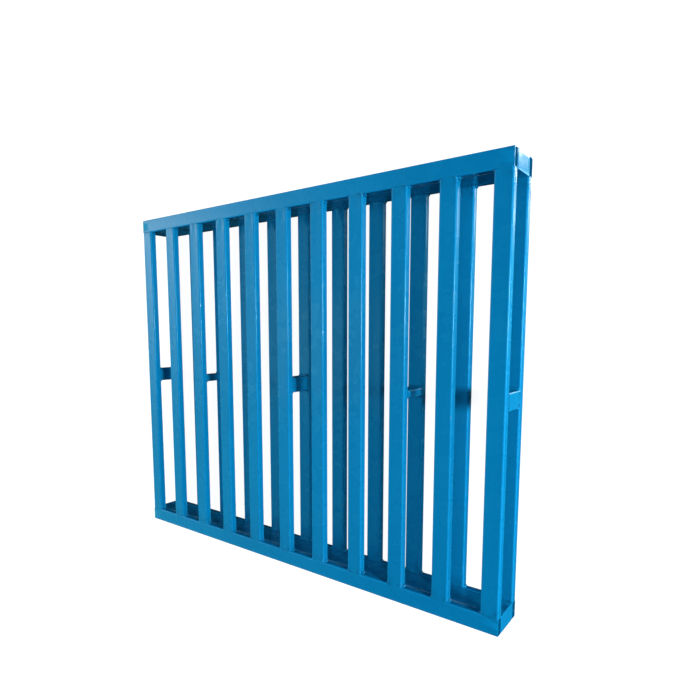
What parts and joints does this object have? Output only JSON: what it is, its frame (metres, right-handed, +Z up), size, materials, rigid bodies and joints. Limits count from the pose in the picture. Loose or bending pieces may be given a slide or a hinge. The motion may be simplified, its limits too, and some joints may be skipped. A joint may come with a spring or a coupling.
{
  "type": "steel tube pallet",
  "caption": "Double-faced welded steel tube pallet: two identical slatted decks held apart by full-length side stringers and short mid-width spacer posts.",
  "frame": {"origin": "centre of the footprint on the resting plane", "axes": "+X along the 1200 mm side, fork entry direction; +Y across the 1000 mm width; +Z up, normal to the deck"},
  "size_m": [1.2, 1, 0.11],
  "materials": {
    "blue_paint": "gloss",
    "weld_paint": "gloss"
  },
  "bodies": {
    "root": {"rail_top_left": "blue_paint", "rail_top_right": "blue_paint", "rail_bottom_left": "blue_paint", "rail_bottom_right": "blue_paint", "slat_top_01": "blue_paint", "slat_top_02": "blue_paint", "slat_top_03": "blue_paint", "slat_top_04": "blue_paint", "slat_top_05": "blue_paint", "slat_top_06": "blue_paint", "slat_top_07": "blue_paint", "slat_top_08": "blue_paint", "slat_top_09": "blue_paint", "slat_top_10": "blue_paint", "slat_top_11": "blue_paint", "slat_bottom_01": "blue_paint", "slat_bottom_02": "blue_paint", "slat_bottom_03": "blue_paint", "slat_bottom_04": "blue_paint", "slat_bottom_05": "blue_paint", "slat_bottom_06": "blue_paint", "slat_bottom_07": "blue_paint", "slat_bottom_08": "blue_paint", "slat_bottom_09": "blue_paint", "slat_bottom_10": "blue_paint", "slat_bottom_11": "blue_paint", "stringer_left": "blue_paint", "stringer_cap_left_front": "blue_paint", "stringer_cap_left_rear": "blue_paint", "stringer_right": "blue_paint", "stringer_cap_right_front": "blue_paint", "stringer_cap_right_rear": "blue_paint", "spacer_post_1": "blue_paint", "spacer_post_2": "blue_paint", "spacer_post_3": "blue_paint", "spacer_post_4": "blue_paint", "spacer_post_5": "blue_paint", "weld_deck_top": "weld_paint", "weld_deck_bottom": "weld_paint", "weld_stitch_left": "weld_paint", "weld_stitch_right": "weld_paint", "weld_posts": "weld_paint"}
  },
  "joints": []
}
